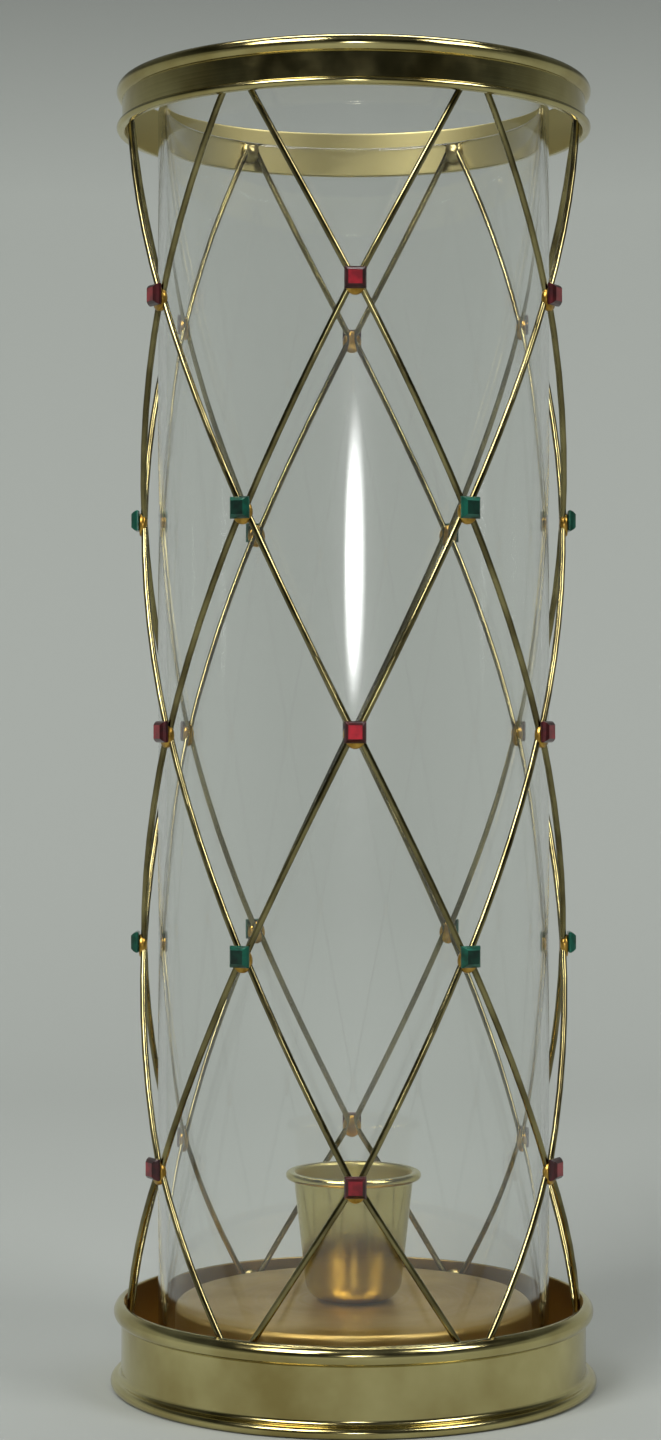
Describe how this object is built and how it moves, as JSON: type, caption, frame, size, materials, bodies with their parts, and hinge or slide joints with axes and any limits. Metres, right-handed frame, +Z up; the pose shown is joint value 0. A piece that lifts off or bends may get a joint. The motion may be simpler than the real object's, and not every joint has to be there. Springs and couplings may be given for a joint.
{
  "type": "hurricane candle lantern",
  "caption": "Tall brass hurricane lantern: a lift-out glass chimney in a cage of zigzag wires set with square red and green stones, over a round base with a votive cup.",
  "frame": {"origin": "centre of the foot, on the surface that the lantern stands on", "axes": "+Z up along the lantern's axis, front towards -Y, +X to the right seen from the front"},
  "size_m": [0.1764, 0.1764, 0.4706],
  "materials": {
    "brass": "polished brass with a warm olive tint",
    "deck_brass": "satin brass",
    "wire_brass": "drawn brass wire",
    "gold_solder": "amber gold solder",
    "steel": "plated steel",
    "clear_glass": "clear glass",
    "red_stone": "faceted red glass stone",
    "green_stone": "faceted green glass stone"
  },
  "bodies": {
    "frame": {"base_band": "brass", "base_deck": "deck_brass", "votive_cup": "brass", "top_ring": "brass", "cup_screw": "steel", "cup_washer": "steel", "cup_nut": "steel", "ring_solder": "gold_solder", "base_solder": "gold_solder", "lattice_wire_01": "wire_brass", "lattice_wire_02": "wire_brass", "lattice_wire_03": "wire_brass", "lattice_wire_04": "wire_brass", "lattice_wire_05": "wire_brass", "lattice_wire_06": "wire_brass", "lattice_wire_07": "wire_brass", "lattice_wire_08": "wire_brass", "lattice_wire_09": "wire_brass", "lattice_wire_10": "wire_brass", "lattice_wire_11": "wire_brass", "lattice_wire_12": "wire_brass", "seat_row_1": "gold_solder", "seat_row_2": "gold_solder", "seat_row_3": "gold_solder", "seat_row_4": "gold_solder", "seat_row_5": "gold_solder", "ruby_row_1": "red_stone", "emerald_row_2": "green_stone", "ruby_row_3": "red_stone", "emerald_row_4": "green_stone", "ruby_row_5": "red_stone"},
    "chimney": {"glass_chimney": "clear_glass"}
  },
  "joints": [
    {"name": "chimney_lift", "type": "slide", "parent": "frame", "child": "chimney", "axis": [0, 0, 1], "range_m": [0, 0.47]}
  ]
}
